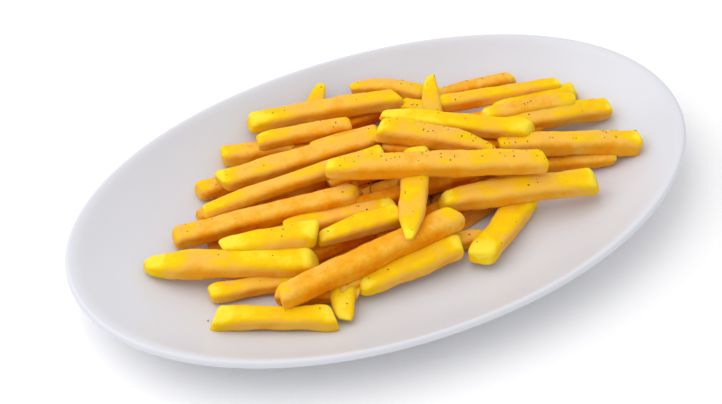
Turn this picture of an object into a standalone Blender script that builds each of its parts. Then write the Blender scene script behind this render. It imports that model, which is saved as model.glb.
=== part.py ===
"""A portion of french fries heaped on an oval porcelain plate.

Metres, +Z up.  The origin is under the middle of the plate, on the surface it stands on, and the
plate's long axis is X.  The plate is a coupe: a flat floor that curves up to a rounded lip, with no
flat rim, standing on a low foot ring.  The heap is one solid out to its uneven outline: every fry
is a bar, and a core fills the space below them.
"""

import math

import bmesh
import bpy
import numpy as np

# --- driving dimensions -------------------------------------------------------------------------
MM = 0.001

PLATE_LENGTH = 280 * MM
PLATE_WIDTH = 165 * MM
END_HEIGHT = 26 * MM            # top of the lip at the two ends of the long axis
SIDE_HEIGHT = 24 * MM           # top of the lip at the two long sides
OVAL_POWER = 2.04               # a true ellipse is 2, and more is squarer
FLOOR_TOP = 7 * MM              # height of the flat floor that the food lies on
FLOOR_SHARE = 0.55              # share of the half width where the floor starts to rise
WALL_POWER = 2.0                # the wall rises as this power of the way out
OVERRISE = 1.12                 # how far the wall would pass the lip if it didn't roll over
LIP_BLEND = 0.7 * MM            # how softly the wall rolls over into the lip
LIP_RADIUS = 2.0 * MM
WALL_THICKNESS = 4.2 * MM
FOOT_HEIGHT = 2.6 * MM          # the underside of the floor stands this far off the table
FOOT_SHARE = 0.57               # the foot ring's outer size as a share of the plate's
FOOT_WIDTH = 4.5 * MM
FOOT_BEND = 0.6 * MM            # how far the foot ring's walls lean
PLATE_SEGMENTS = 72

GROUND_STEP = 1 * MM            # cell of the height map of the heap's upper face
CLEARANCE = 0.7 * MM            # gap between the food and the glaze
CORE_STEP = 5 * MM              # cell of the core's surface
CORE_DEPTH = 3.5 * MM           # the core stays this far under the fries' backs
VOXEL = 2.2 * MM
HEAP_TRIANGLES = 5600
BAR_CORNER = 0.55               # where a bar's bevel starts, as a share of its half width
BAR_END = 0.03                  # length of a bar's narrowed end as a share of its length
END_GIRTH = 0.72                # girth of a bar's end as a share of its middle's
CELL_OVERLAP = 1.02             # the core's blocks reach this far into each other
LEAST_CORE = 1 * MM             # the core is left out where it would be thinner

# Each fry: its middle x, y and z in millimetres, the turn of its length from +X and its upward tilt
# in degrees, then its length, width and thickness in millimetres.
UNDER_FRIES = (                 # the middle of the heap, which shows only through its gaps
    (-26, 22, 12, 7, 0, 68, 8, 8),
    (-19, 5, 12, 4, 0, 74, 8, 8),
    (-27, -11, 12, 5, 0, 65, 8, 8),
    (19, -15, 12, 5, 0, 62, 8, 8),
    (52, 1, 12, 3, 0, 60, 8, 8),
    (53, 14, 12, -4, 0, 62, 8, 8),
    (12, 38, 12, 3, 0, 68, 8, 8),
    (63, 26, 13, -5, 2, 50, 8, 8),
    (-14, 32, 18, 2, 0, 56, 7, 7),
    (15, 12, 19, -4, 0, 70, 7, 7),
    (9, -3, 18, -4, 0, 62, 7, 7),
    (43, 22, 19, -4, 0, 54, 7, 7),
    (58, 6, 18, 1, 0, 44, 7, 7),
    (0, 48, 14, 8, 0, 60, 7, 7),
    (-47, -33, 11.5, -22, 0, 34, 8, 7),
)
LOW_FRIES = (                   # those that lie on the plate, round the foot of the heap
    (-69, -39, 14, -24, -2, 49, 8.5, 7.8),
    (-67, -19.5, 12, -13, -1, 42, 7.2, 6.8),
    (-39, -40, 13.5, -113, -11, 22, 12, 7),
    (16, -32, 11.5, -9, 0, 26, 7.5, 7),
    (38.5, -34.5, 13, -147, 3, 44, 12, 8),
    (-62, 24, 13, -15, 5, 28, 7, 7),
    (-57.5, 38, 13.5, -9, 0, 27, 8, 7.5),
    (84, -13.5, 13.5, -24, 6, 37, 7, 6.5),
    (85, 23, 18, -6, 0, 42, 8, 7.5),
    (66, 44.5, 15.5, -8, 1, 38, 7.5, 7),
    (-4, 63, 20, -129, -10, 19, 10, 7),
    (-38, 49.5, 15, -14, 0, 33, 9, 8),
    (-24, -4, 18.5, -11, 1, 48, 8, 7),
    (-14, -34, 14, 7, 0, 54, 7, 7),
)
SLOPE_FRIES = (                 # those that lean on the heap's sides
    (-75, -7.5, 17.5, -25, 2, 70, 12, 10),
    (-52, 9.5, 19, -13, 7, 79, 9, 8.3),
    (-19, -15, 21.5, -5, 2, 38, 9, 8.3),
    (-7.5, -38.5, 15, 1, 3, 48, 10.5, 9),
    (-34, 19, 23, -4, 4, 82, 7.6, 7),
    (-26, 30, 23, -7, 4, 73, 9.2, 8.2),
    (-18, 45, 21.5, -12, 1, 42, 7.8, 7.3),
    (-4, 33, 22, -9, 4, 30, 7, 6.7),
    (28.5, 57.5, 18, -29, -4, 33, 9, 7.5),
    (69, 31, 21, -11, -2, 60, 7.5, 7),
    (88, 7, 21, -6, -5, 51, 9, 8.2),
    (-4, 54, 22, -14, 2, 68, 8.8, 8),
    (51, -24.5, 20, -15, 0, 68, 10.5, 9.6),
    (-57, -7, 22.5, -19, 6, 40, 11, 10),
    (24, 12, 24, -29, 0, 36, 7, 6.5),
)
TOP_FRIES = (                   # those that lie across the others
    (-23, -32, 21.5, 5, 1, 84, 10.8, 9.6),
    (6, -13, 28, -120, 2, 53, 12, 7),
    (77.5, 14, 24, -7, -5, 45, 9, 8),
    (42.5, 18, 26.5, -34, 0, 66, 8.8, 7.5),
    (35.5, 38, 21, -40, 0, 18, 8, 7),
    (41.5, 39, 23.5, -113, -17, 24, 9.5, 7),
    (84, -10, 21, -21, -3, 62, 9.6, 9),
    (29, 10, 29.5, -35, -5, 52, 10.3, 8.5),
    (20.5, -6, 32.5, -21, -2, 93, 10.4, 8.8),
)


# --- materials ----------------------------------------------------------------------------------
def make_material(name, colour, roughness):
    """A plain Principled material of one colour."""
    material = bpy.data.materials.new(name)
    material.use_nodes = True
    shader = material.node_tree.nodes["Principled BSDF"]
    shader.inputs["Base Color"].default_value = (*colour, 1.0)
    shader.inputs["Roughness"].default_value = roughness
    shader.inputs["Metallic"].default_value = 0.0
    return material


# --- the plate ----------------------------------------------------------------------------------
def oval_ring(scale, inset, segments):
    """Points of the plate's oval, scaled and then drawn in: x = a|cos t|^(2/n), y = b|sin t|^(2/n)."""
    angle = np.linspace(0.0, 2.0 * math.pi, segments, endpoint=False)
    half_length = PLATE_LENGTH / 2 * scale - inset
    half_width = PLATE_WIDTH / 2 * scale - inset
    cosine, sine = np.cos(angle), np.sin(angle)
    x = half_length * np.sign(cosine) * np.abs(cosine) ** (2.0 / OVAL_POWER)
    y = half_width * np.sign(sine) * np.abs(sine) ** (2.0 / OVAL_POWER)
    return x, y


def lip_height(x, y):
    """Height of the lip's top, which rises from the long sides to the ends as the cosine squared."""
    across = (2 * x / PLATE_LENGTH) ** 2
    along = (2 * y / PLATE_WIDTH) ** 2
    share = across / np.maximum(across + along, 1e-9)
    return SIDE_HEIGHT + (END_HEIGHT - SIDE_HEIGHT) * share


def wall_height(x, y):
    """Height of the plate's plain curve: flat floor, then a rise as a power of the way outwards."""
    out = np.abs(2 * x / PLATE_LENGTH) ** OVAL_POWER + np.abs(2 * y / PLATE_WIDTH) ** OVAL_POWER
    way = np.clip((out ** (1.0 / OVAL_POWER) - FLOOR_SHARE) / (1.0 - FLOOR_SHARE), 0.0, 1.2)
    return FLOOR_TOP + (lip_height(x, y) - FLOOR_TOP) * OVERRISE * way ** WALL_POWER


def glaze_height(x, y):
    """Height of the plate's upper face: the wall and the lip's level joined by a soft minimum."""
    both = np.exp(-wall_height(x, y) / LIP_BLEND) + np.exp(-lip_height(x, y) / LIP_BLEND)
    return -LIP_BLEND * np.log(both)


def plate_rings():
    """The plate's rings from the middle of the upper face, over the lip, to the middle below."""
    rings = []
    for scale in (0.18, 0.36, 0.50, 0.58, 0.66, 0.74, 0.81, 0.88, 0.93, 0.96):
        x, y = oval_ring(scale, 0.0, PLATE_SEGMENTS)
        rings.append((x, y, glaze_height(x, y)))
    for degrees in (90, 60, 30, 0, -35):
        turn = math.radians(degrees)
        x, y = oval_ring(1.0, LIP_RADIUS * (1.0 - math.cos(turn)), PLATE_SEGMENTS)
        rings.append((x, y, glaze_height(x, y) - LIP_RADIUS * (1.0 - math.sin(turn))))
    for scale in (0.92, 0.84, 0.76, 0.68, 0.61):
        x, y = oval_ring(scale, 0.0, PLATE_SEGMENTS)
        rise = (scale - FLOOR_SHARE) / (1.0 - FLOOR_SHARE)
        drop = WALL_THICKNESS + (FLOOR_TOP - FOOT_HEIGHT - WALL_THICKNESS) * (1.0 - rise)
        rings.append((x, y, wall_height(x, y) - drop))
    for inset, height in ((0.0, FOOT_HEIGHT), (FOOT_BEND, 0.0), (FOOT_WIDTH, 0.0),
                          (FOOT_WIDTH + FOOT_BEND, FOOT_HEIGHT)):
        x, y = oval_ring(FOOT_SHARE, inset, PLATE_SEGMENTS)
        rings.append((x, y, np.full_like(x, height)))
    return rings


def build_plate():
    """Bridge the rings into one closed skin, with a fan at the middle above and below."""
    mesh = bmesh.new()
    loops = []
    for x, y, z in plate_rings():
        loops.append([mesh.verts.new(point) for point in zip(x, y, z)])
    top = mesh.verts.new((0.0, 0.0, FLOOR_TOP))
    bottom = mesh.verts.new((0.0, 0.0, FOOT_HEIGHT))
    for k in range(PLATE_SEGMENTS):
        after = (k + 1) % PLATE_SEGMENTS
        mesh.faces.new((top, loops[0][k], loops[0][after]))
        mesh.faces.new((bottom, loops[-1][after], loops[-1][k]))
        for inner, outer in zip(loops[:-1], loops[1:]):
            mesh.faces.new((inner[k], outer[k], outer[after], inner[after]))
    return finish_object("plate", mesh, make_material("porcelain", (0.80, 0.80, 0.82), 0.12))


def finish_object(name, mesh, material):
    """Put a bmesh into a named object with outward faces and smooth shading."""
    bmesh.ops.recalc_face_normals(mesh, faces=mesh.faces[:])
    data = bpy.data.meshes.new(name)
    mesh.to_mesh(data)
    mesh.free()
    data.materials.append(material)
    data.shade_smooth()
    data.set_sharp_from_angle(angle=math.radians(40))
    item = bpy.data.objects.new(name, data)
    bpy.context.scene.collection.objects.link(item)
    return item


# --- the fries ----------------------------------------------------------------------------------
def fry_axes(turn, tilt):
    """Unit vectors along, across and up through a fry whose length is turned about Z and tilted."""
    flat = math.cos(tilt)
    along = np.array((math.cos(turn) * flat, math.sin(turn) * flat, math.sin(tilt)))
    across = np.array((-math.sin(turn), math.cos(turn), 0.0))
    return along, across, np.cross(along, across)


def add_bar(mesh, fry):
    """One fry as a bar with bevelled long edges and slightly smaller ends."""
    middle = np.array(fry[:3]) * MM
    along, across, upward = fry_axes(math.radians(fry[3]), math.radians(fry[4]))
    length, width, thickness = (value * MM for value in fry[5:])
    outline = ((1, BAR_CORNER), (BAR_CORNER, 1), (-BAR_CORNER, 1), (-1, BAR_CORNER),
               (-1, -BAR_CORNER), (-BAR_CORNER, -1), (BAR_CORNER, -1), (1, -BAR_CORNER))
    rings = []
    for way, girth in ((-0.5, END_GIRTH), (BAR_END - 0.5, 1.0), (0.5 - BAR_END, 1.0), (0.5, END_GIRTH)):
        centre = middle + along * way * length
        rings.append([mesh.verts.new(centre + (across * a * width + upward * b * thickness) * girth / 2)
                      for a, b in outline])
    count = len(outline)
    for first, last in zip(rings[:-1], rings[1:]):
        for k in range(count):
            after = (k + 1) % count
            mesh.faces.new((first[k], first[after], last[after], last[k]))
    mesh.faces.new(rings[0][::-1])
    mesh.faces.new(rings[-1])


def raise_ground(ground, fry):
    """Raise the height map to the fry's back wherever the fry covers it."""
    grid_x, grid_y, heights = ground
    x, y, z, turn, tilt, length, width, thickness = fry
    along, across = fry_axes(math.radians(turn), math.radians(tilt))[:2]
    lengthwise = (grid_x - x * MM) * along[0] + (grid_y - y * MM) * along[1]
    sideways = (grid_x - x * MM) * across[0] + (grid_y - y * MM) * across[1]
    under = (np.abs(lengthwise) <= length * MM / 2) & (np.abs(sideways) <= width * MM / 2)
    back = (z + thickness / 2) * MM + lengthwise * math.tan(math.radians(tilt))
    heights[under] = np.maximum(heights, back)[under]


# --- the heap -----------------------------------------------------------------------------------
def add_core(mesh, ground, bare):
    """The filling under the fries: a slab from just over the glaze up to near their backs."""
    step = round(CORE_STEP / GROUND_STEP)
    rows = ground[2].shape[0] // step
    columns = ground[2].shape[1] // step
    cells = (slice(0, rows * step), slice(0, columns * step))
    blocks = ground[2][cells].reshape(rows, step, columns, step)
    lowest = blocks.min(axis=(1, 3)) - CORE_DEPTH
    floor = bare[cells].reshape(rows, step, columns, step).max(axis=(1, 3))
    filled = lowest > floor + LEAST_CORE
    x0, y0 = -PLATE_LENGTH / 2, -PLATE_WIDTH / 2
    for row, column in zip(*np.nonzero(filled)):
        low = np.array((x0 + row * CORE_STEP, y0 + column * CORE_STEP, floor[row, column]))
        high = low + (CORE_STEP * CELL_OVERLAP, CORE_STEP * CELL_OVERLAP, 0.0)
        high[2] = lowest[row, column]
        box = bmesh.ops.create_cube(mesh, size=1.0)["verts"]
        for vertex in box:
            share = np.array(vertex.co) + 0.5
            vertex.co = low + share * (high - low)


def melt_together(mesh):
    """Turn overlapping closed shapes into one closed skin of about the wanted number of triangles."""
    data = bpy.data.meshes.new("heap_parts")
    mesh.to_mesh(data)
    mesh.free()
    item = bpy.data.objects.new("heap_parts", data)
    bpy.context.scene.collection.objects.link(item)
    remesh = item.modifiers.new("remesh", "REMESH")
    remesh.mode = "VOXEL"
    remesh.voxel_size = VOXEL
    skin = keep_outer_skin(evaluated_copy(item))
    item.data = skin
    item.modifiers.clear()
    thinner = item.modifiers.new("decimate", "DECIMATE")
    thinner.ratio = HEAP_TRIANGLES / (2 * len(skin.polygons))
    result = bmesh.new()
    result.from_mesh(evaluated_copy(item))
    bpy.data.objects.remove(item)
    return result


def evaluated_copy(item):
    """The object's mesh with its modifiers applied."""
    graph = bpy.context.evaluated_depsgraph_get()
    return bpy.data.meshes.new_from_object(item.evaluated_get(graph))


def keep_outer_skin(data):
    """Drop every loose piece of skin but the one with the most faces, such as those of hollows."""
    mesh = bmesh.new()
    mesh.from_mesh(data)
    seen = set()
    largest = []
    for start in mesh.verts:
        if start in seen:
            continue
        seen.add(start)
        piece = [start]
        for vertex in piece:
            for edge in vertex.link_edges:
                other = edge.other_vert(vertex)
                if other not in seen:
                    seen.add(other)
                    piece.append(other)
        if len(piece) > len(largest):
            largest = piece
    kept = set(largest)
    bmesh.ops.delete(mesh, geom=[vertex for vertex in mesh.verts if vertex not in kept], context="VERTS")
    mesh.to_mesh(data)
    mesh.free()
    return data


def make_ground():
    """Height map just over the plate's upper face, as grids of x, y and height."""
    x = np.arange(-PLATE_LENGTH / 2, PLATE_LENGTH / 2, GROUND_STEP)
    y = np.arange(-PLATE_WIDTH / 2, PLATE_WIDTH / 2, GROUND_STEP)
    grid_x, grid_y = np.meshgrid(x, y, indexing="ij")
    return grid_x, grid_y, glaze_height(grid_x, grid_y) + CLEARANCE


def build_heap():
    """Set out every fry, fill under them, join all of it and lift the skin clear of the glaze."""
    ground = make_ground()
    bare = ground[2].copy()
    parts = bmesh.new()
    for fry in UNDER_FRIES + LOW_FRIES + SLOPE_FRIES + TOP_FRIES:
        add_bar(parts, fry)
        raise_ground(ground, fry)
    add_core(parts, ground, bare)
    skin = melt_together(parts)
    for vertex in skin.verts:
        lowest = float(glaze_height(np.array(vertex.co.x), np.array(vertex.co.y))) + CLEARANCE
        vertex.co.z = max(vertex.co.z, lowest)
    bmesh.ops.triangulate(skin, faces=skin.faces[:])
    return finish_object("fries_heap", skin, make_material("fried_potato", (0.85, 0.50, 0.08), 0.5))


for leftover in list(bpy.data.objects):
    bpy.data.objects.remove(leftover)
build_plate()
build_heap()
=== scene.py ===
"""A portion of french fries on an oval porcelain plate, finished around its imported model."""

import math

import bpy
import numpy as np
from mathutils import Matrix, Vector


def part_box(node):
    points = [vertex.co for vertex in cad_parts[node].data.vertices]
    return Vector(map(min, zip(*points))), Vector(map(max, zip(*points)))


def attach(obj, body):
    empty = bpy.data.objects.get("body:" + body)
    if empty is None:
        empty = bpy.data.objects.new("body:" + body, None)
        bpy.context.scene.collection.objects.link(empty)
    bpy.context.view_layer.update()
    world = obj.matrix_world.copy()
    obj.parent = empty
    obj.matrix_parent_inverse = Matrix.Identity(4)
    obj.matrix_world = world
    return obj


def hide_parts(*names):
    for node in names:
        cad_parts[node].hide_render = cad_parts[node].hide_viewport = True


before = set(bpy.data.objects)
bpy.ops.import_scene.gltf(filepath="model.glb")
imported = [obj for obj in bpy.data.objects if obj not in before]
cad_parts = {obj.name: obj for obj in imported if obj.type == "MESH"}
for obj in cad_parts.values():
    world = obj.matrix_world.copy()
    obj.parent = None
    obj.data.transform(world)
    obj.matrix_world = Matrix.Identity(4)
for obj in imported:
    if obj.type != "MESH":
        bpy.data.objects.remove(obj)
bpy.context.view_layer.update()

MM = 0.001

# --- The plate ----------------------------------------------------------------------------------
# An oval coupe plate of white porcelain: slip cast, so its floor runs up to the lip in one curve.
# The glaze is poured on and fired, which leaves it smooth and glossy with a soft rounded lip.
PLATE_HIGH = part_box("plate")[1]
HALF_LENGTH, HALF_WIDTH = PLATE_HIGH.x, PLATE_HIGH.y
END_HEIGHT = 26 * MM             # the lip's level before it is rolled over, at the two ends
SIDE_HEIGHT = 24 * MM            # and at the two long sides
OVAL_POWER = 2.04
FLOOR_TOP = 7 * MM
FLOOR_SHARE = 0.55
LIP_RADIUS = 2 * MM
WALL_THICKNESS = 4.2 * MM
FOOT_HEIGHT = 2.6 * MM
FOOT_SHARE = 0.57
FOOT_WIDTH = 4.5 * MM
FOOT_BEND = 0.6 * MM             # how far the foot ring's walls lean
PLATE_SEGMENTS = 288
LIP_BLEND = 0.7 * MM             # how softly the wall rolls over into the lip
OVERRISE = 1.12                  # how far the wall would pass the lip if it didn't roll over


def oval_ring(scale, inset, segments=PLATE_SEGMENTS):
    """Points of the plate's oval, scaled and then drawn in: x = a|cos t|^(2/n), y = b|sin t|^(2/n)."""
    angle = np.linspace(0.0, 2.0 * math.pi, segments, endpoint=False)
    cosine, sine = np.cos(angle), np.sin(angle)
    x = (HALF_LENGTH * scale - inset) * np.sign(cosine) * np.abs(cosine) ** (2.0 / OVAL_POWER)
    y = (HALF_WIDTH * scale - inset) * np.sign(sine) * np.abs(sine) ** (2.0 / OVAL_POWER)
    return x, y


def lip_height(x, y):
    """Height of the lip's top, which rises from the long sides to the ends as the cosine squared."""
    across = (x / HALF_LENGTH) ** 2
    along = (y / HALF_WIDTH) ** 2
    return SIDE_HEIGHT + (END_HEIGHT - SIDE_HEIGHT) * across / np.maximum(across + along, 1e-9)


def wall_height(x, y):
    """Height of the plate's plain curve: a flat floor, then a rise as the square of the way out."""
    out = np.abs(x / HALF_LENGTH) ** OVAL_POWER + np.abs(y / HALF_WIDTH) ** OVAL_POWER
    way = np.clip((out ** (1.0 / OVAL_POWER) - FLOOR_SHARE) / (1.0 - FLOOR_SHARE), 0.0, 1.2)
    return FLOOR_TOP + (lip_height(x, y) - FLOOR_TOP) * OVERRISE * way ** 2


def glaze_height(x, y):
    """Height of the upper face: the wall's curve a and the lip's level b joined by a soft minimum.

    The soft minimum is -k log(exp(-a/k) + exp(-b/k)), which rolls the wall over into the lip.
    """
    both = np.exp(-wall_height(x, y) / LIP_BLEND) + np.exp(-lip_height(x, y) / LIP_BLEND)
    return -LIP_BLEND * np.log(both)


def closed_skin(name, rings, first_pole, last_pole):
    """A mesh object whose skin joins rings of equal count in turn, and ends in a fan at each pole.

    rings is an array of ring, point round the ring and coordinate.
    """
    count, around = rings.shape[:2]
    points = np.concatenate([rings.reshape(-1, 3), [first_pole], [last_pole]])
    here = np.arange(around)
    after = (here + 1) % around
    start = np.arange(count - 1)[:, None] * around
    quads = np.stack([start + here, start + after, start + around + after, start + around + here], -1)
    last = (count - 1) * around
    first_fan = np.stack([after, here, np.full(around, count * around)], -1)
    last_fan = np.stack([last + here, last + after, np.full(around, count * around + 1)], -1)
    mesh = bpy.data.meshes.new(name)
    faces = quads.reshape(-1, 4).tolist() + first_fan.tolist() + last_fan.tolist()
    mesh.from_pydata(points.tolist(), [], faces)
    mesh.shade_smooth()
    item = bpy.data.objects.new(name, mesh)
    bpy.context.scene.collection.objects.link(item)
    return item


def plate_profile():
    """The plate's rings from the middle of the upper face, over the lip, to the middle below."""
    rings = []
    for scale in np.concatenate([np.linspace(0.06, 0.54, 9), np.linspace(0.57, 0.97, 30)]):
        x, y = oval_ring(scale, 0.0)
        rings.append((x, y, glaze_height(x, y)))
    for turn in np.radians(np.linspace(90, -40, 13)):
        x, y = oval_ring(1.0, LIP_RADIUS * (1.0 - math.cos(turn)))
        rings.append((x, y, glaze_height(x, y) - LIP_RADIUS * (1.0 - math.sin(turn))))
    for scale in np.linspace(0.955, 0.61, 16):
        x, y = oval_ring(scale, 0.0)
        rise = (scale - FLOOR_SHARE) / (1.0 - FLOOR_SHARE)
        drop = WALL_THICKNESS + (FLOOR_TOP - FOOT_HEIGHT - WALL_THICKNESS) * (1.0 - rise)
        rings.append((x, y, wall_height(x, y) - drop))
    for inset, height in ((0.0, FOOT_HEIGHT), (0.1 * MM, FOOT_BEND), (FOOT_BEND, 0.0),
                          (FOOT_WIDTH, 0.0), (FOOT_WIDTH + FOOT_BEND, FOOT_BEND),
                          (FOOT_WIDTH + 2 * FOOT_BEND, FOOT_HEIGHT)):
        x, y = oval_ring(FOOT_SHARE, inset)
        rings.append((x, y, np.full_like(x, height)))
    return np.array(rings).transpose(0, 2, 1)


class Value:
    """A shader socket that Python arithmetic works on, each operation being one Math node."""

    def __init__(self, finish, socket):
        self.finish = finish
        self.socket = socket

    def combine(self, operation, *terms):
        return self.finish.node("ShaderNodeMath", {"operation": operation}, dict(enumerate(terms)))

    def __add__(self, other):
        return self.combine("ADD", self, other)

    def __sub__(self, other):
        return self.combine("SUBTRACT", self, other)

    def __rsub__(self, other):
        return self.combine("SUBTRACT", other, self)

    def __mul__(self, other):
        return self.combine("MULTIPLY", self, other)

    __radd__ = __add__
    __rmul__ = __mul__

    def clipped(self):
        """The value held between 0 and 1."""
        return self.combine("MAXIMUM", self.combine("MINIMUM", self, 1.0), 0.0)


class Finish:
    """One surface finish: a Principled shader, its fixed numbers and the nodes that vary it."""

    def __init__(self, name, **fixed):
        self.material = bpy.data.materials.new(name)
        self.material.use_nodes = True
        self.tree = self.material.node_tree
        self.shader = self.tree.nodes["Principled BSDF"]
        for socket, value in fixed.items():
            label = socket.replace("_", " ").title().replace("Ior", "IOR")
            self.shader.inputs[label].default_value = value
        self.place = self.node("ShaderNodeTexCoord", {}, {}, "Object")

    def node(self, kind, settings, inputs, output=0):
        """Add a node: its settings first, then the values or links of its sockets."""
        node = self.tree.nodes.new(kind)
        for name, value in settings.items():
            if name == "stops":
                self.set_stops(node.color_ramp, value)
            else:
                setattr(node, name, value)
        for socket, value in inputs.items():
            if isinstance(value, Value):
                self.tree.links.new(value.socket, node.inputs[socket])
            else:
                node.inputs[socket].default_value = value
        return Value(self, node.outputs[output])

    def set_stops(self, ramp, stops):
        """Give a colour ramp its stops, each a place from 0 to 1 and a colour."""
        while len(ramp.elements) < len(stops):
            ramp.elements.new(0.5)
        for element, (place, colour) in zip(ramp.elements, stops):
            element.position = place
            element.color = (*colour, 1.0)

    def noise(self, size, detail=2.0, roughness=0.5):
        """Cloudy noise from 0 to 1 whose patches are about the given size in metres."""
        inputs = {"Vector": self.place, "Scale": 1.0 / size, "Detail": detail, "Roughness": roughness}
        return self.node("ShaderNodeTexNoise", {}, inputs)

    def attribute(self, name):
        """A number stored on the piece's points."""
        return self.node("ShaderNodeAttribute", {"attribute_name": name}, {}, "Fac")

    def ramp(self, share, stops):
        """Colour read from a ramp of stops."""
        return self.node("ShaderNodeValToRGB", {"stops": stops}, {"Fac": share})

    def mix(self, share, first, second):
        """Colour that goes from the first to the second as share goes from 0 to 1."""
        return self.node("ShaderNodeMix", {"data_type": "RGBA"}, {0: share, 6: first, 7: second}, 2)

    def relief(self, height, distance):
        """Feed a height from 0 to 1, worth the given distance in metres, to the shader's normal."""
        inputs = {"Height": height, "Distance": distance, "Strength": 1.0}
        self.feed("Normal", self.node("ShaderNodeBump", {}, inputs))

    def feed(self, socket, value):
        """Link a value to one of the shader's sockets."""
        self.tree.links.new(value.socket, self.shader.inputs[socket])


def give(item, finish, replaced):
    """Put the finish on a piece, let it ride on the part's one body, and hide the part it stands for."""
    item.data.materials.append(finish.material)
    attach(item, "root")
    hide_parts(replaced)


glaze = Finish("white_glaze", roughness=0.3, ior=1.5)
mottle = glaze.noise(35 * MM, 2.0)
glaze.feed("Base Color", glaze.mix(mottle, (0.650, 0.655, 0.705, 1.0), (0.680, 0.685, 0.735, 1.0)))

plate = closed_skin("plate_glazed", plate_profile(), (0, 0, FLOOR_TOP), (0, 0, FOOT_HEIGHT))
give(plate, glaze, "plate")

# --- The fries ----------------------------------------------------------------------------------
# Sticks of potato cut square and fried: their faces sink a little between plump edges, their ends
# are paler and blunt or drawn to a tip, and no two are of one thickness.
# Each row is a fry: its middle x, y and z in millimetres, the turn of its length from +X and its
# upward tilt in degrees, its length, width and thickness in millimetres, how brown it is from 0 to
# 1, the girth of its two ends as a share of its middle's, and its sideways bend in millimetres.
# The under fries are browned 0.9 to 1.1, more than most fries above them: painted shade for the deep gaps
# they are seen through.
UNDER_FRIES = (
    (-26, 22, 12, 7, 0, 68, 8, 8, 0.9, 1, 1, 0),
    (-19, 5, 12, 4, 0, 74, 8, 8, 0.9, 1, 1, 0),
    (-27, -11, 12, 5, 0, 65, 8, 8, 0.9, 1, 1, 0),
    (19, -15, 12, 5, 0, 62, 8, 8, 0.9, 1, 1, 0),
    (52, 1, 12, 3, 0, 60, 8, 8, 0.9, 1, 1, 0),
    (53, 14, 12, -4, 0, 62, 8, 8, 0.9, 1, 1, 0),
    (12, 38, 12, 3, 0, 68, 8, 8, 1.0, 1, 1, 0),
    (63, 26, 13, -5, 2, 50, 8, 8, 0.9, 1, 1, 0),
    (-14, 32, 18, 2, 0, 56, 7, 7, 1.1, 1, 1, 0),
    (15, 12, 19, -4, 0, 70, 7, 7, 1.1, 1, 1, 0),
    (9, -3, 18, -4, 0, 62, 7, 7, 1.1, 1, 1, 0),
    (43, 22, 19, -4, 0, 54, 7, 7, 1.0, 1, 1, 0),
    (58, 6, 18, 1, 0, 44, 7, 7, 1.0, 1, 1, 0),
    (0, 48, 14, 8, 0, 60, 7, 7, 1.1, 1, 1, 0),
    (-47, -33, 11.5, -22, 0, 34, 8, 7, 1.0, 1, 1, 0),
)
LOW_FRIES = (
    (-69, -39, 14, -24, -2, 49, 8.5, 7.8, 0.12, 1.15, 1.2, 0),
    (-67, -19.5, 12, -13, -1, 42, 7.2, 6.8, 0.3, 1.1, 1, 0),
    (-39, -40, 13.5, -113, -11, 22, 12, 7, 0.15, 1, 0.6, 0),
    (16, -32, 11.5, -9, 0, 26, 7.5, 7, 0.6, 1, 0.9, 0),
    (38.5, -34.5, 13, -147, 3, 44, 12, 8, 0.15, 1, 0.95, 0),
    (-62, 24, 13, -15, 5, 28, 7, 7, 0.9, 0.9, 1, 0),
    (-57.5, 38, 13.5, -9, 0, 27, 8, 7.5, 0.75, 1, 1, 0),
    (84, -13.5, 13.5, -24, 6, 37, 7, 6.5, 0.8, 1, 0.9, 0),
    (85, 23, 18, -6, 0, 42, 8, 7.5, 0.2, 1, 1, 0),
    (66, 44.5, 15.5, -8, 1, 38, 7.5, 7, 0.7, 0.9, 0.95, 0),
    (-4, 63, 20, -129, -10, 19, 10, 7, 0.2, 0.35, 1, 0),
    (-38, 49.5, 15, -14, 0, 33, 9, 8, 0.5, 1, 1, 0),
    (-24, -4, 18.5, -11, 1, 48, 8, 7, 0.35, 0.9, 1, 0),
    (-14, -34, 14, 7, 0, 54, 7, 7, 1.0, 1, 1, 0),
)
SLOPE_FRIES = (
    (-75, -7.5, 17.5, -25, 2, 70, 12, 10, 0.15, 0.55, 0.95, 0),
    (-52, 9.5, 19, -13, 7, 79, 9, 8.3, 0.7, 1, 0.88, 0),
    (-19, -15, 21.5, -5, 2, 38, 9, 8.3, 0.15, 0.65, 1, 0),
    (-7.5, -38.5, 15, 1, 3, 48, 10.5, 9, 0.15, 0.8, 1, 0),
    (-34, 19, 23, -4, 4, 82, 7.6, 7, 0.4, 0.9, 1, 0),
    (-26, 30, 23, -7, 4, 73, 9.2, 8.2, 0.5, 1, 0.8, 0),
    (-18, 45, 21.5, -12, 1, 42, 7.8, 7.3, 0.55, 1, 1, 0),
    (-4, 33, 22, -9, 4, 30, 7, 6.7, 0.8, 1, 1, 0),
    (28.5, 57.5, 18, -29, -4, 33, 9, 7.5, 0.5, 0.5, 1, 3),
    (69, 31, 21, -11, -2, 60, 7.5, 7, 0.3, 0.9, 1, 0.5),
    (88, 7, 21, -6, -5, 51, 9, 8.2, 0.25, 0.85, 0.95, 1),
    (-4, 54, 22, -14, 2, 68, 8.8, 8, 0.3, 0.95, 1, 0.5),
    (51, -24.5, 20, -15, 0, 68, 10.5, 9.6, 0.3, 0.78, 1, 0.8),
    (-57, -7, 22.5, -19, 6, 40, 11, 10, 0.1, 0.6, 1, 0),
    (24, 12, 24, -29, 0, 36, 7, 6.5, 0.8, 1, 1, 0),
)
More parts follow.
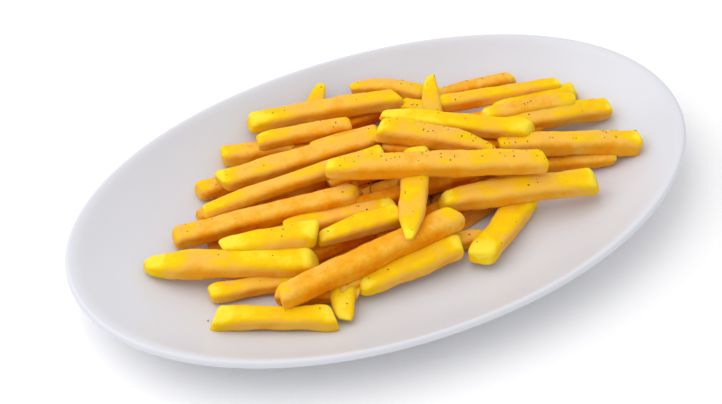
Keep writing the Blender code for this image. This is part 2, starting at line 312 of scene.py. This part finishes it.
TOP_FRIES = (
    (-23, -32, 21.5, 5, 1, 84, 10.8, 9.6, 0.66, 0.9, 1, 0),
    (6, -13, 28, -120, 2, 53, 12, 7, 0.2, 1, 0.28, 0),
    (77.5, 14, 24, -7, -5, 45, 9, 8, 0.5, 0.8, 0.95, 1.5),
    (42.5, 18, 26.5, -34, 0, 66, 8.8, 7.5, 0.15, 0.45, 1, 0),
    (35.5, 38, 21, -40, 0, 18, 8, 7, 0.4, 0.8, 1, 0),
    (41.5, 39, 23.5, -113, -17, 24, 9.5, 7, 0.4, 0.4, 1, 0),
    (84, -10, 21, -21, -3, 62, 9.6, 9, 0.45, 0.75, 1.15, 0),
    (29, 10, 29.5, -35, -5, 52, 10.3, 8.5, 0.4, 1.05, 0.4, 0.8),
    (20.5, -6, 32.5, -21, -2, 93, 10.4, 8.8, 0.4, 0.8, 0.85, 0),
)
UNDER_SEED, OUTER_SEED = 5, 8   # what the small random differences between fries start from
END_FLAT = 0.62                 # share of the girth that an end's flat face takes
TAPER_RUN = 20 * MM             # length over which a fry thins or thickens towards an end
CUT_RUN = 5 * MM                # length over which an end's slanting cut fades away
AROUND = 36
INNER_RINGS = 44
ROUND_STEPS = 6


def ring_places(length, first_round, last_round):
    """Distance of every ring from the fry's nearer end, its signed place along it, and its girth.

    An end starts with two rings on its flat face, then a quarter circle rounds it to full girth.
    """
    quarter = np.linspace(0.0, math.pi / 2, ROUND_STEPS)
    bend_depth = np.concatenate([[0.0, 0.0], 1 - np.cos(quarter)])
    end_girth = np.concatenate([[0.25, 0.48], END_FLAT + (1 - END_FLAT) * np.sin(quarter)])
    inner = np.linspace(0.0, 1.0, INNER_RINGS + 2)[None, 1:-1]
    start = first_round * bend_depth
    finish = length - last_round * bend_depth[::-1]
    middle = first_round + inner * (length - first_round - last_round)
    depth = np.concatenate([start, middle, finish], 1)
    girth = np.concatenate([end_girth, np.ones(INNER_RINGS), end_girth[::-1]])
    return depth, np.repeat(girth[None, :], len(length), 0)


def fry_rings(rows, seed):
    """Rings of every fry at once, as an array of fry, ring, point round the ring and coordinate.

    A section is the superellipse |y|^n + |z|^n = 1 with a ripple of sine waves.  It grows or shrinks
    towards the ends, twists and bows along the length, and slants where the end was cut.
    """
    draw = np.random.default_rng(seed)
    rows = np.array(rows, float)
    count = len(rows)

    def vary(low, high):
        return draw.uniform(low, high, count)[:, None]

    middle = rows[:, :3] * MM
    turn, tilt = np.radians(rows[:, 3]), np.radians(rows[:, 4])
    length, width, thickness = (rows[:, column, None] * MM for column in (5, 6, 7))
    depth, girth = ring_places(length, vary(1.8, 4.4) * MM, vary(1.8, 4.4) * MM)
    place = depth - length / 2
    share = depth / length
    for end, near in ((rows[:, 9:10], depth), (rows[:, 10:11], length - depth)):
        way = np.clip(1.0 - near / TAPER_RUN, 0.0, 1.0)
        girth = girth * (1.0 - (1.0 - end) * way ** 1.6)

    angle = np.linspace(0.0, 2 * math.pi, AROUND, endpoint=False)[None, None, :]
    twist = np.radians(vary(-14, 14) * (share - 0.5) + vary(-8, 8))
    cosine, sine = np.cos(angle), np.sin(angle)
    power = vary(2.7, 4.4)[:, :, None]
    reach = (np.abs(cosine) ** power + np.abs(sine) ** power) ** (-1.0 / power)
    ripple = 1.0 - 0.030 * vary(0.2, 1.6)[:, :, None] * np.cos(2 * angle) ** 4
    for lobes, wave, size in ((0, 34, 0.024), (1, 26, 0.030), (2, 19, 0.020), (3, 11, 0.011),
                              (4, 7.5, 0.009), (5, 5.2, 0.007), (6, 3.4, 0.005)):
        stretch = vary(0.75, 1.3)
        phase = 2 * math.pi * (place / (wave * MM * stretch) + vary(0, 1))
        ripple = ripple + size * np.sin(phase[:, :, None] + lobes * angle + vary(0, 6.28)[:, :, None])
    side = reach * ripple * cosine * girth[:, :, None] * width[:, None] / 2
    rise = reach * ripple * sine * girth[:, :, None] * thickness[:, None] / 2
    turned_side = side * np.cos(twist)[:, :, None] - rise * np.sin(twist)[:, :, None]
    turned_rise = side * np.sin(twist)[:, :, None] + rise * np.cos(twist)[:, :, None]
    arch = 0.6 - 4.0 * (share - 0.5) ** 2
    turned_side = turned_side + (arch * (vary(-0.7, 0.7) * MM + rows[:, 11:] * MM))[:, :, None]
    turned_rise = turned_rise + (arch * vary(-0.5, 0.7) * MM)[:, :, None]
    slant_start = np.exp(-depth / CUT_RUN)[:, :, None]
    slant_end = np.exp(-(length - depth) / CUT_RUN)[:, :, None]
    lean = (vary(-0.5, 0.5)[:, :, None] * slant_start + vary(-0.5, 0.5)[:, :, None] * slant_end) * side
    lean = lean + vary(-0.45, 0.45)[:, :, None] * (slant_start - slant_end) * rise
    forward = place[:, :, None] + lean

    along = np.stack([np.cos(turn) * np.cos(tilt), np.sin(turn) * np.cos(tilt), np.sin(tilt)], -1)
    across = np.stack([-np.sin(turn), np.cos(turn), np.zeros(count)], -1)
    upward = np.cross(along, across)
    rings = middle[:, None, None, :] + forward[..., None] * along[:, None, None, :]
    rings = rings + turned_side[..., None] * across[:, None, None, :]
    rings = rings + turned_rise[..., None] * upward[:, None, None, :]
    nearer = np.minimum(depth, length - depth)
    return rings, nearer, angle


def join_fries(name, rows, seed):
    """All the fries of some rows as one mesh of separate closed skins, storing how brown each is, where
    its ends lie and the painted shade of its sides.
    """
    rings, nearer, angle = fry_rings(rows, seed)
    count, levels, around = rings.shape[:3]
    poles = np.stack([rings[:, 0].mean(1), rings[:, -1].mean(1)], 1)
    points = np.concatenate([rings.reshape(count, -1, 3), poles], 1)
    size = levels * around
    here = np.arange(around)
    after = (here + 1) % around
    start = np.arange(levels - 1)[:, None] * around
    quads = np.stack([start + here, start + around + here, start + around + after, start + after], -1)
    first_fan = np.stack([here, after, np.full(around, size)], -1)
    last = size - around
    last_fan = np.stack([last + after, last + here, np.full(around, size + 1)], -1)
    shift = (np.arange(count) * (size + 2))[:, None, None]
    quads = (quads.reshape(1, -1, 4) + shift).reshape(-1, 4)
    fans = (np.concatenate([first_fan, last_fan])[None] + shift).reshape(-1, 3)
    mesh = bpy.data.meshes.new(name)
    mesh.from_pydata(points.reshape(-1, 3).tolist(), [], quads.tolist() + fans.tolist())
    mesh.shade_smooth()
    end_share = np.repeat(np.exp(-nearer / (7 * MM))[:, :, None], around, 2).reshape(count, -1)
    end_share = np.concatenate([end_share, np.ones((count, 2))], 1)
    # Painted shade: side is 0 on the top of each fry and rises to 1 on its sides and underside, which the
    # crust turns darker and more orange; the two poles take half.
    side = np.clip((0.85 - np.sin(angle)) / 0.5, 0.0, 1.0)
    side = np.broadcast_to(side, (count, levels, around)).reshape(count, -1)
    side = np.concatenate([side, np.full((count, 2), 0.5)], 1)
    brown = np.repeat(np.array(rows, float)[:, 8:9], size + 2, 1)
    for label, values in (("end", end_share), ("side", side), ("brown", brown)):
        layer = mesh.attributes.new(label, "FLOAT", "POINT")
        layer.data.foreach_set("value", values.reshape(-1).astype(np.float32))
    item = bpy.data.objects.new(name, mesh)
    bpy.context.scene.collection.objects.link(item)
    return item


def shade(red, green, blue):
    """A colour given from 0 to 255 a channel, as on a paint card, turned into light values."""
    return tuple((channel / 255) ** 2.2 for channel in (red, green, blue))


crust = Finish("fried_potato", roughness=0.5, ior=1.42, specular_ior_level=0.12,
               subsurface_weight=0.35, subsurface_scale=0.002)
crust.shader.inputs["Subsurface Radius"].default_value = (1.0, 0.4, 0.1)
patch = crust.noise(16 * MM, 2.0)
blotch = crust.noise(6 * MM, 3.0, 0.6)
freckle = crust.noise(1.8 * MM, 3.0, 0.6)
brown = crust.attribute("brown")
# Real browning mixed with painted shade: the side term paints each fry's sides and underside darker and
# more orange than its top, as if lit from above.
browning_and_shade = (brown * 0.55 + (patch - 0.5) * 0.75 + (blotch - 0.5) * (brown * 0.75 + 0.15)
            + (freckle - 0.5) * (brown * 0.4 + 0.1)
            + crust.attribute("side") * 0.26 - crust.attribute("end") * 0.32 + 0.13).clipped()
crust.feed("Base Color", crust.ramp(browning_and_shade, (
    (0.0, shade(248, 218, 60)),
    (0.10, shade(243, 201, 12)),
    (0.22, shade(240, 189, 22)),
    (0.38, shade(239, 183, 78)),
    (0.54, shade(236, 168, 42)),
    (0.76, shade(236, 148, 8)),
    (1.0, shade(226, 116, 0)),
)))
crust.feed("Roughness", crust.noise(4 * MM, 2.0) * 0.25 + 0.45)
crust.relief(crust.noise(1.1 * MM, 4.0, 0.6) * 0.5 + freckle * (brown + 0.3), 0.20 * MM)

under = join_fries("fries_under", UNDER_FRIES, UNDER_SEED)
outer = join_fries("fries_outer", LOW_FRIES + SLOPE_FRIES + TOP_FRIES, OUTER_SEED)
for pile in (under, outer):
    give(pile, crust, "fries_heap")

# --- The core of the heap -----------------------------------------------------------------------
# The imported middle of the heap, which is seen only as the dark bottom of the deepest gaps: it is
# painted a dark orange-brown as painted shade, standing for fries deep in the heap's shadow.
CORE_DEPTH = 7 * MM             # the core stays this far under the lowest back nearby
CORE_MIDDLE = (-2 * MM, 9 * MM)
CORE_REACH = (76 * MM, 36 * MM)
CORE_LIFT = 0.8 * MM            # its underside is this far above the glaze
CORE_AROUND = 96
CORE_RINGS = 26


def heap_top(x, y):
    """Height of the heap's back over each point: the highest fry that covers it, or the glaze."""
    top = glaze_height(x, y)
    for row in UNDER_FRIES + LOW_FRIES + SLOPE_FRIES + TOP_FRIES:
        turn, tilt = math.radians(row[3]), math.radians(row[4])
        away_x, away_y = x - row[0] * MM, y - row[1] * MM
        lengthwise = away_x * math.cos(turn) + away_y * math.sin(turn)
        sideways = away_y * math.cos(turn) - away_x * math.sin(turn)
        covers = (np.abs(lengthwise) < row[5] * MM / 2) & (np.abs(sideways) < row[6] * MM / 2)
        back = (row[2] + row[7] / 2) * MM + lengthwise * math.tan(tilt)
        top = np.where(covers, np.maximum(top, back), top)
    return top


def build_core():
    """A low mound: polar rings in the heap's oval whose height is the lowest back nearby, sunk."""
    angle = np.linspace(0.0, 2 * math.pi, CORE_AROUND, endpoint=False)[None, :]
    out = np.linspace(0.03, 1.0, CORE_RINGS)[:, None]
    x = CORE_MIDDLE[0] + out * CORE_REACH[0] * np.cos(angle)
    y = CORE_MIDDLE[1] + out * CORE_REACH[1] * np.sin(angle)
    bottom = glaze_height(x, y) + CORE_LIFT
    spread = 4 * MM
    nearby = [heap_top(x + spread * a, y + spread * b) for a in (-1, 0, 1) for b in (-1, 0, 1)]
    height = np.clip(np.min(nearby, 0) - CORE_DEPTH - bottom, 0.0, None) * np.clip(1.25 - out, 0, 1)
    upper = np.stack([x, y, bottom + height + 0.2 * MM], -1)
    lower = np.stack([x, y, bottom], -1)[::-1]
    rings = np.concatenate([upper, lower])
    return closed_skin("heap_core", rings, rings[0].mean(0), rings[-1].mean(0))


# Painted shade: dark orange-brown for fries deep in the heap's shadow.
gap = Finish("heap_shade", roughness=0.6, subsurface_weight=0.2, subsurface_scale=0.003)
gap.feed("Base Color", gap.mix(gap.noise(6 * MM), (0.74, 0.24, 0.004, 1.0), (0.82, 0.36, 0.01, 1.0)))
gap.relief(gap.noise(3 * MM, 3.0), 0.6 * MM)
core = build_core()
give(core, gap, "fries_heap")

# --- The seasoning ------------------------------------------------------------------------------
# Coarsely ground pepper shaken over the top: dark flakes that stick in the oil on the upper faces.
FLAKES = 200
FLAKE_SEED = 41
FLAKE_SIZE = 0.38 * MM
TOP_SHARE = 0.35                # share of the flakes that lie on the highest three fries
FALLEN = (-93 * MM, -26 * MM)   # where one flake fell past the heap onto the glaze


def flake_places(rows, seed, draw):
    """Random points on the upper faces of the fries, and the way out of the face at each."""
    rings, nearer, angle = fry_rings(rows, seed)
    highest = len(rows) - 1 - draw.integers(0, 3, FLAKES)
    fry = np.where(draw.random(FLAKES) < TOP_SHARE, highest, draw.integers(0, len(rows), FLAKES))
    level = draw.integers(ROUND_STEPS, rings.shape[1] - ROUND_STEPS, FLAKES)
    quarter = AROUND // 4
    spot = (quarter + draw.integers(-quarter // 2, quarter // 2, FLAKES)) % AROUND
    centre = rings.mean(2)[fry, level]
    point = rings[fry, level, spot]
    out = point - centre
    return point, out / np.linalg.norm(out, axis=1)[:, None]


def build_flakes():
    """Flat eight-sided chips, each an octahedron squashed towards the face it lies on."""
    draw = np.random.default_rng(FLAKE_SEED)
    point, out = flake_places(LOW_FRIES + SLOPE_FRIES + TOP_FRIES, OUTER_SEED, draw)
    fallen_height = glaze_height(*np.array(FALLEN)) + FLAKE_SIZE
    point = np.concatenate([point, [(*FALLEN, fallen_height)]])
    out = np.concatenate([out, [(0.0, 0.0, 1.0)]])
    count = len(point)
    side = np.cross(out, draw.normal(size=(count, 3)))
    side = side / np.linalg.norm(side, axis=1)[:, None]
    other = np.cross(out, side)
    size = FLAKE_SIZE * draw.uniform(0.5, 1.5, (count, 3))
    corners = np.stack([side * size[:, :1], other * size[:, 1:2], -side * size[:, 1:2],
                        -other * size[:, :1], out * size[:, 2:] * 0.6,
                        -out * size[:, 2:] * 0.5], 1)
    points = point[:, None, :] + corners
    faces = np.array([(0, 1, 4), (1, 2, 4), (2, 3, 4), (3, 0, 4),
                      (1, 0, 5), (2, 1, 5), (3, 2, 5), (0, 3, 5)])
    faces = (faces[None] + (np.arange(count) * 6)[:, None, None]).reshape(-1, 3)
    mesh = bpy.data.meshes.new("seasoning")
    mesh.from_pydata(points.reshape(-1, 3).tolist(), [], faces.tolist())
    item = bpy.data.objects.new("seasoning", mesh)
    bpy.context.scene.collection.objects.link(item)
    return item


pepper = Finish("pepper_flakes", roughness=0.7)
pepper.feed("Base Color", pepper.mix(pepper.noise(3 * MM), (0.05, 0.02, 0.005, 1), (0.22, 0.10, 0.02, 1)))
flakes = build_flakes()
give(flakes, pepper, "fries_heap")

# --- The room -----------------------------------------------------------------------------------
# A white sweep of card under the plate, one large soft lamp over the far left and a pale fill.
FLOOR_REACH = 4.0


def make_floor():
    """A square sheet of white card that the plate stands on."""
    mesh = bpy.data.meshes.new("floor")
    reach = FLOOR_REACH / 2
    corners = [(-reach, -reach, 0), (reach, -reach, 0), (reach, reach, 0), (-reach, reach, 0)]
    mesh.from_pydata(corners, [], [(0, 1, 2, 3)])
    item = bpy.data.objects.new("floor", mesh)
    bpy.context.scene.collection.objects.link(item)
    card = Finish("white_card", roughness=0.9)
    card.shader.inputs["Base Color"].default_value = (0.96, 0.96, 0.965, 1.0)
    mesh.materials.append(card.material)


def aim(item, place, target):
    """Put a lamp or the camera at a place and turn it to look at the target."""
    item.location = place
    item.rotation_euler = (Vector(target) - Vector(place)).to_track_quat("-Z", "Y").to_euler()
    bpy.context.scene.collection.objects.link(item)


def make_lamp(name, place, size, watts):
    """A square area lamp turned towards the plate."""
    data = bpy.data.lights.new(name, "AREA")
    data.size = size
    data.energy = watts
    aim(bpy.data.objects.new(name, data), place, (0, 0, FLOOR_TOP))


def make_sky(strength):
    """Even white light from all round."""
    world = bpy.data.worlds.new("room")
    world.use_nodes = True
    world.node_tree.nodes["Background"].inputs["Color"].default_value = (1.0, 1.0, 1.0, 1.0)
    world.node_tree.nodes["Background"].inputs["Strength"].default_value = strength
    bpy.context.scene.world = world


make_floor()
make_sky(0.78)
make_lamp("key_lamp", (-0.52, 0.25, 1.05), 1.4, 9)

# --- The camera ---------------------------------------------------------------------------------
# It looks down at 47 degrees from the near left, far enough back for a long lens.
CAMERA_TURN = math.radians(-25.5)
CAMERA_RISE = math.radians(47)
CAMERA_AWAY = 2.5 * PLATE_HIGH.x * 2
target = Vector((-0.107 * HALF_LENGTH, -0.077 * HALF_WIDTH, END_HEIGHT))
back = Vector((math.sin(CAMERA_TURN) * math.cos(CAMERA_RISE),
               -math.cos(CAMERA_TURN) * math.cos(CAMERA_RISE), math.sin(CAMERA_RISE)))
lens = bpy.data.cameras.new("camera")
lens.lens = 83.4
lens.sensor_width = 36.0
camera = bpy.data.objects.new("camera", lens)
aim(camera, target + back * CAMERA_AWAY, target)
bpy.context.scene.camera = camera
bpy.context.scene.view_settings.view_transform = "Standard"
